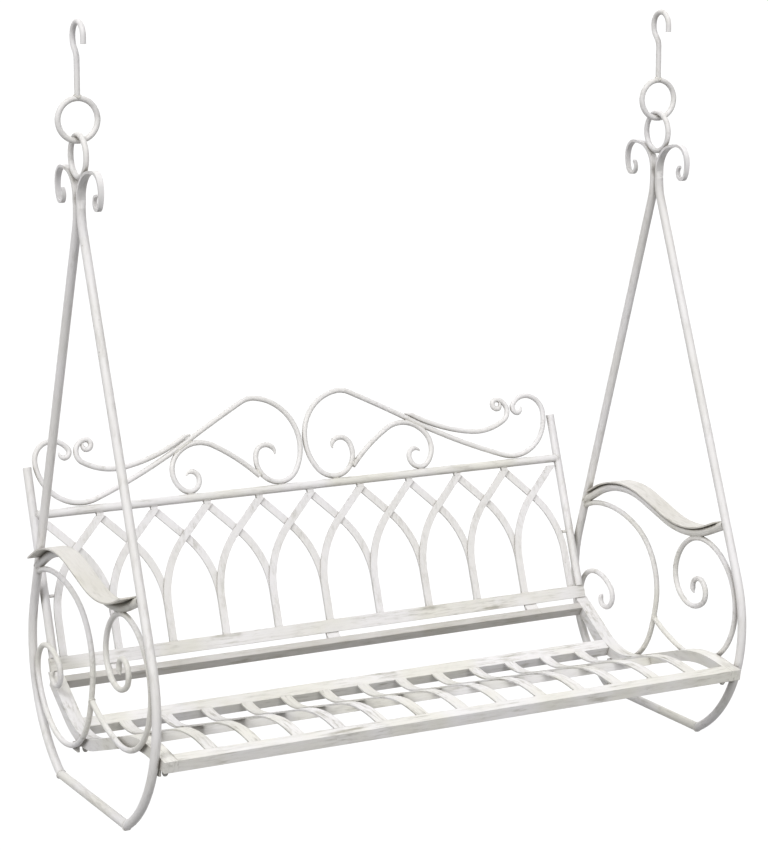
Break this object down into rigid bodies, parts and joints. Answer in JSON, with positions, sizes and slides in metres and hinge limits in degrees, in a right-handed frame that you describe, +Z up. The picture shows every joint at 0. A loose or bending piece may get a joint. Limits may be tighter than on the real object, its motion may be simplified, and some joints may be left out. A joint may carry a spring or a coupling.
{
  "type": "swing bench",
  "caption": "Hanging garden swing bench of painted steel rod and tube, with scroll side frames, contoured strip seat, arched back and ceiling hooks.",
  "frame": {"origin": "middle of the base, at the height of the underside of the two bottom bars, centred in width and depth", "axes": "+X to the viewer's right seen from the front, +Y to the rear, +Z up"},
  "size_m": [1.241, 0.685, 1.349],
  "materials": {
    "frame_paint": "antique white paint with worn streaks",
    "seat_paint": "antique white paint with worn streaks",
    "back_paint": "antique white paint with worn streaks",
    "hanger_paint": "antique white paint with worn streaks",
    "fastener_paint": "antique white paint with worn streaks"
  },
  "bodies": {
    "left_hanger": {"left_hook": "hanger_paint", "left_hanging_ring": "hanger_paint"},
    "right_hanger": {"right_hook": "hanger_paint", "right_hanging_ring": "hanger_paint"},
    "bench": {"back_arch_tabs": "back_paint", "back_bottom_rail": "back_paint", "back_corner_tabs": "back_paint", "back_front_arches": "back_paint", "back_left_peg": "back_paint", "back_left_post": "back_paint", "back_rear_arches": "back_paint", "back_right_peg": "back_paint", "back_right_post": "back_paint", "back_seat_tabs": "back_paint", "back_top_rail": "back_paint", "crest_left_inner_rod": "back_paint", "crest_left_main_rod": "back_paint", "crest_left_outer_rod": "back_paint", "crest_right_inner_rod": "back_paint", "crest_right_main_rod": "back_paint", "crest_right_outer_rod": "back_paint", "left_armrest_strip": "frame_paint", "left_armrest_tube": "frame_paint", "left_bottom_bar": "frame_paint", "left_front_leg": "frame_paint", "left_front_scroll": "frame_paint", "left_link_ring": "frame_paint", "left_rear_leg": "frame_paint", "left_rear_scroll": "frame_paint", "left_seat_brackets": "frame_paint", "right_armrest_strip": "frame_paint", "right_armrest_tube": "frame_paint", "right_bottom_bar": "frame_paint", "right_front_leg": "frame_paint", "right_front_scroll": "frame_paint", "right_link_ring": "frame_paint", "right_rear_leg": "frame_paint", "right_rear_scroll": "frame_paint", "right_seat_brackets": "frame_paint", "seat_bolts": "fastener_paint", "seat_front_rail": "seat_paint", "seat_lattice_rail": "seat_paint", "seat_left_rail": "seat_paint", "seat_mid_bar": "seat_paint", "seat_nuts": "fastener_paint", "seat_rear_rail": "seat_paint", "seat_right_rail": "seat_paint", "seat_strip_01": "seat_paint", "seat_strip_02": "seat_paint", "seat_strip_03": "seat_paint", "seat_strip_04": "seat_paint", "seat_strip_05": "seat_paint", "seat_strip_06": "seat_paint", "seat_strip_07": "seat_paint", "seat_strip_08": "seat_paint", "seat_strip_09": "seat_paint", "seat_strip_10": "seat_paint", "seat_strip_11": "seat_paint", "seat_strip_12": "seat_paint", "seat_strip_13": "seat_paint"}
  },
  "joints": [
    {"name": "swing", "type": "hinge", "parent": "left_hanger", "child": "bench", "pos_m": [-0.58, -0.03054, 1.1462], "axis": [1, 0, 0], "range_deg": [-30, 30]},
    {"name": "right_hanger_pivot", "type": "hinge", "parent": "bench", "child": "right_hanger", "pos_m": [0.58, -0.03054, 1.1462], "axis": [1, 0, 0], "range_deg": [-30, 30]}
  ],
  "couplings": [
    {"joint": "right_hanger_pivot", "follows": "swing", "ratio": -1}
  ]
}
